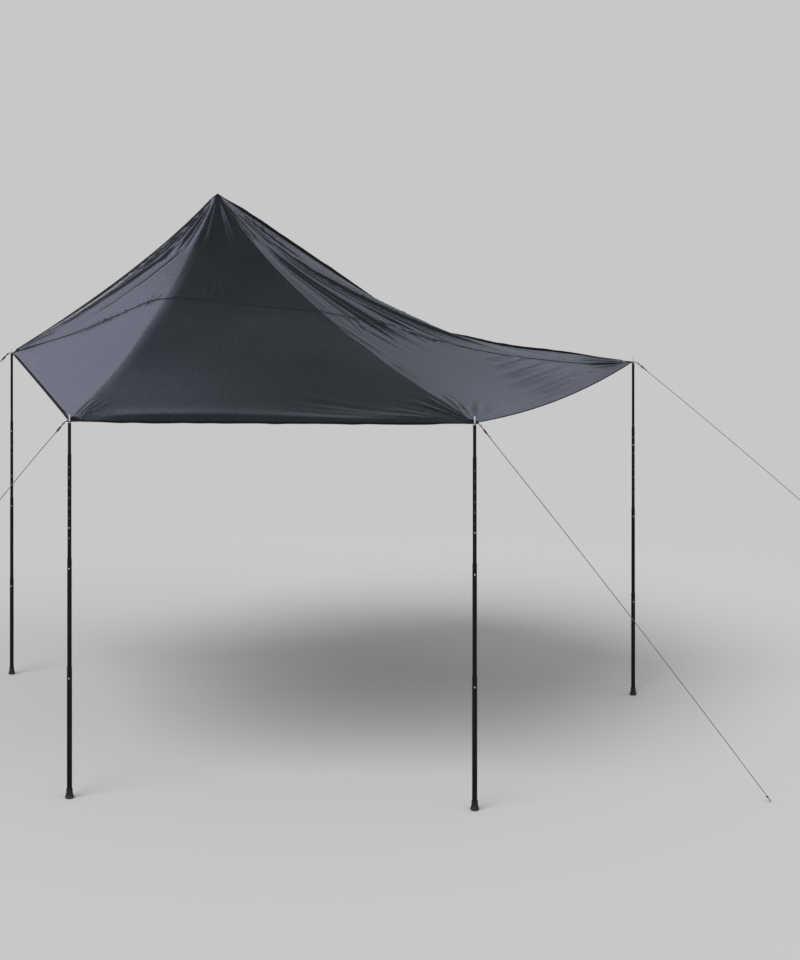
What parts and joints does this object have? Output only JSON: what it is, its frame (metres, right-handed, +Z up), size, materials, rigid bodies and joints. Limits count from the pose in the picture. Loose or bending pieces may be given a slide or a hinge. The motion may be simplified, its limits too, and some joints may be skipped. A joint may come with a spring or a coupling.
{
  "type": "rooftop tent awning",
  "caption": "Cloth awning for a rooftop tent: a tensioned canopy rising to a peak, held up on telescoping poles with button locks, pinned corners and guy lines.",
  "frame": {"origin": "on the ground, under the middle of the awning without its guy lines", "axes": "+Z up, -Y towards the front hem, +Y towards the tent, +X along the front from left to right"},
  "size_m": [5.4948, 3.7078, 3.3033],
  "materials": {
    "coated_polyester_cloth": "satin",
    "black_webbing": "matte",
    "black_painted_aluminium": "satin",
    "bright_steel": "satin",
    "black_rubber": "matte",
    "black_plastic": "satin",
    "dark_cord": "matte"
  },
  "bodies": {
    "canopy": {"upper_canopy_panel": "coated_polyester_cloth", "lower_canopy_panel": "coated_polyester_cloth", "peak_patch": "black_webbing", "tent_welt": "black_webbing", "rear_left_corner_patch": "black_webbing", "rear_left_eyelet": "bright_steel", "rear_left_guy_line": "dark_cord", "rear_left_line_slider": "black_plastic", "rear_left_line_end": "dark_cord", "front_left_corner_patch": "black_webbing", "front_left_eyelet": "bright_steel", "front_left_guy_line": "dark_cord", "front_left_line_slider": "black_plastic", "front_left_line_end": "dark_cord", "front_right_corner_patch": "black_webbing", "front_right_eyelet": "bright_steel", "front_right_guy_line": "dark_cord", "front_right_line_slider": "black_plastic", "front_right_line_end": "dark_cord", "rear_right_corner_patch": "black_webbing", "rear_right_eyelet": "bright_steel", "rear_right_guy_line": "dark_cord", "rear_right_line_slider": "black_plastic", "rear_right_line_end": "dark_cord"},
    "rear_left_top": {"rear_left_top_tube": "black_painted_aluminium", "rear_left_spigot": "bright_steel"},
    "rear_left_upper": {"rear_left_upper_tube": "black_painted_aluminium"},
    "rear_left_mid": {"rear_left_mid_tube": "black_painted_aluminium"},
    "rear_left_lower": {"rear_left_lower_tube": "black_painted_aluminium", "rear_left_foot": "black_rubber"},
    "rear_left_top_button": {"rear_left_top_clip": "bright_steel"},
    "rear_left_upper_button": {"rear_left_upper_clip": "bright_steel"},
    "rear_left_mid_button": {"rear_left_mid_clip": "bright_steel"},
    "front_left_top": {"front_left_top_tube": "black_painted_aluminium", "front_left_spigot": "bright_steel"},
    "front_left_upper": {"front_left_upper_tube": "black_painted_aluminium"},
    "front_left_mid": {"front_left_mid_tube": "black_painted_aluminium"},
    "front_left_lower": {"front_left_lower_tube": "black_painted_aluminium", "front_left_foot": "black_rubber"},
    "front_left_top_button": {"front_left_top_clip": "bright_steel"},
    "front_left_upper_button": {"front_left_upper_clip": "bright_steel"},
    "front_left_mid_button": {"front_left_mid_clip": "bright_steel"},
    "front_right_top": {"front_right_top_tube": "black_painted_aluminium", "front_right_spigot": "bright_steel"},
    "front_right_upper": {"front_right_upper_tube": "black_painted_aluminium"},
    "front_right_mid": {"front_right_mid_tube": "black_painted_aluminium"},
    "front_right_lower": {"front_right_lower_tube": "black_painted_aluminium", "front_right_foot": "black_rubber"},
    "front_right_top_button": {"front_right_top_clip": "bright_steel"},
    "front_right_upper_button": {"front_right_upper_clip": "bright_steel"},
    "front_right_mid_button": {"front_right_mid_clip": "bright_steel"},
    "rear_right_top": {"rear_right_top_tube": "black_painted_aluminium", "rear_right_spigot": "bright_steel"},
    "rear_right_upper": {"rear_right_upper_tube": "black_painted_aluminium"},
    "rear_right_mid": {"rear_right_mid_tube": "black_painted_aluminium"},
    "rear_right_lower": {"rear_right_lower_tube": "black_painted_aluminium", "rear_right_foot": "black_rubber"},
    "rear_right_top_button": {"rear_right_top_clip": "bright_steel"},
    "rear_right_upper_button": {"rear_right_upper_clip": "bright_steel"},
    "rear_right_mid_button": {"rear_right_mid_clip": "bright_steel"}
  },
  "joints": [
    {"name": "rear_left_pin_release", "type": "slide", "parent": "canopy", "child": "rear_left_top", "axis": [0, 0, -1], "range_m": [0, 0.045]},
    {"name": "rear_left_upper_telescope", "type": "slide", "parent": "rear_left_top", "child": "rear_left_upper", "axis": [0, 0, 1], "range_m": [0, 0.445], "deforming": ["rear_left_top_clip"]},
    {"name": "rear_left_mid_telescope", "type": "slide", "parent": "rear_left_upper", "child": "rear_left_mid", "axis": [0, 0, 1], "range_m": [0, 0.485], "deforming": ["rear_left_upper_clip"]},
    {"name": "rear_left_lower_telescope", "type": "slide", "parent": "rear_left_mid", "child": "rear_left_lower", "axis": [0, 0, 1], "range_m": [0, 0.53], "deforming": ["rear_left_mid_clip"]},
    {"name": "rear_left_top_button_press", "type": "slide", "parent": "rear_left_top", "child": "rear_left_top_button", "axis": [0, 1, 0], "range_m": [0, 0.0035], "stiffness_N_per_m": 600, "springref_m": -0.003, "deforming": ["rear_left_top_clip"]},
    {"name": "rear_left_upper_button_press", "type": "slide", "parent": "rear_left_upper", "child": "rear_left_upper_button", "axis": [0, 1, 0], "range_m": [0, 0.0035], "stiffness_N_per_m": 600, "springref_m": -0.003, "deforming": ["rear_left_upper_clip"]},
    {"name": "rear_left_mid_button_press", "type": "slide", "parent": "rear_left_mid", "child": "rear_left_mid_button", "axis": [0, 1, 0], "range_m": [0, 0.0035], "stiffness_N_per_m": 600, "springref_m": -0.003, "deforming": ["rear_left_mid_clip"]},
    {"name": "front_left_pin_release", "type": "slide", "parent": "canopy", "child": "front_left_top", "axis": [0, 0, -1], "range_m": [0, 0.045]},
    {"name": "front_left_upper_telescope", "type": "slide", "parent": "front_left_top", "child": "front_left_upper", "axis": [0, 0, 1], "range_m": [-0.3, 0.145], "deforming": ["front_left_top_clip"]},
    {"name": "front_left_mid_telescope", "type": "slide", "parent": "front_left_upper", "child": "front_left_mid", "axis": [0, 0, 1], "range_m": [0, 0.485], "deforming": ["front_left_upper_clip"]},
    {"name": "front_left_lower_telescope", "type": "slide", "parent": "front_left_mid", "child": "front_left_lower", "axis": [0, 0, 1], "range_m": [0, 0.53], "deforming": ["front_left_mid_clip"]},
    {"name": "front_left_top_button_press", "type": "slide", "parent": "front_left_top", "child": "front_left_top_button", "axis": [0, 1, 0], "range_m": [0, 0.0035], "stiffness_N_per_m": 600, "springref_m": -0.003, "deforming": ["front_left_top_clip"]},
    {"name": "front_left_upper_button_press", "type": "slide", "parent": "front_left_upper", "child": "front_left_upper_button", "axis": [0, 1, 0], "range_m": [0, 0.0035], "stiffness_N_per_m": 600, "springref_m": -0.003, "deforming": ["front_left_upper_clip"]},
    {"name": "front_left_mid_button_press", "type": "slide", "parent": "front_left_mid", "child": "front_left_mid_button", "axis": [0, 1, 0], "range_m": [0, 0.0035], "stiffness_N_per_m": 600, "springref_m": -0.003, "deforming": ["front_left_mid_clip"]},
    {"name": "front_right_pin_release", "type": "slide", "parent": "canopy", "child": "front_right_top", "axis": [0, 0, -1], "range_m": [0, 0.045]},
    {"name": "front_right_upper_telescope", "type": "slide", "parent": "front_right_top", "child": "front_right_upper", "axis": [0, 0, 1], "range_m": [-0.3, 0.145], "deforming": ["front_right_top_clip"]},
    {"name": "front_right_mid_telescope", "type": "slide", "parent": "front_right_upper", "child": "front_right_mid", "axis": [0, 0, 1], "range_m": [0, 0.485], "deforming": ["front_right_upper_clip"]},
    {"name": "front_right_lower_telescope", "type": "slide", "parent": "front_right_mid", "child": "front_right_lower", "axis": [0, 0, 1], "range_m": [0, 0.53], "deforming": ["front_right_mid_clip"]},
    {"name": "front_right_top_button_press", "type": "slide", "parent": "front_right_top", "child": "front_right_top_button", "axis": [0, 1, 0], "range_m": [0, 0.0035], "stiffness_N_per_m": 600, "springref_m": -0.003, "deforming": ["front_right_top_clip"]},
    {"name": "front_right_upper_button_press", "type": "slide", "parent": "front_right_upper", "child": "front_right_upper_button", "axis": [0, 1, 0], "range_m": [0, 0.0035], "stiffness_N_per_m": 600, "springref_m": -0.003, "deforming": ["front_right_upper_clip"]},
    {"name": "front_right_mid_button_press", "type": "slide", "parent": "front_right_mid", "child": "front_right_mid_button", "axis": [0, 1, 0], "range_m": [0, 0.0035], "stiffness_N_per_m": 600, "springref_m": -0.003, "deforming": ["front_right_mid_clip"]},
    {"name": "rear_right_pin_release", "type": "slide", "parent": "canopy", "child": "rear_right_top", "axis": [0, 0, -1], "range_m": [0, 0.045]},
    {"name": "rear_right_upper_telescope", "type": "slide", "parent": "rear_right_top", "child": "rear_right_upper", "axis": [0, 0, 1], "range_m": [-0.05, 0.395], "deforming": ["rear_right_top_clip"]},
    {"name": "rear_right_mid_telescope", "type": "slide", "parent": "rear_right_upper", "child": "rear_right_mid", "axis": [0, 0, 1], "range_m": [0, 0.485], "deforming": ["rear_right_upper_clip"]},
    {"name": "rear_right_lower_telescope", "type": "slide", "parent": "rear_right_mid", "child": "rear_right_lower", "axis": [0, 0, 1], "range_m": [0, 0.53], "deforming": ["rear_right_mid_clip"]},
    {"name": "rear_right_top_button_press", "type": "slide", "parent": "rear_right_top", "child": "rear_right_top_button", "axis": [0, 1, 0], "range_m": [0, 0.0035], "stiffness_N_per_m": 600, "springref_m": -0.003, "deforming": ["rear_right_top_clip"]},
    {"name": "rear_right_upper_button_press", "type": "slide", "parent": "rear_right_upper", "child": "rear_right_upper_button", "axis": [0, 1, 0], "range_m": [0, 0.0035], "stiffness_N_per_m": 600, "springref_m": -0.003, "deforming": ["rear_right_upper_clip"]},
    {"name": "rear_right_mid_button_press", "type": "slide", "parent": "rear_right_mid", "child": "rear_right_mid_button", "axis": [0, 1, 0], "range_m": [0, 0.0035], "stiffness_N_per_m": 600, "springref_m": -0.003, "deforming": ["rear_right_mid_clip"]}
  ]
}
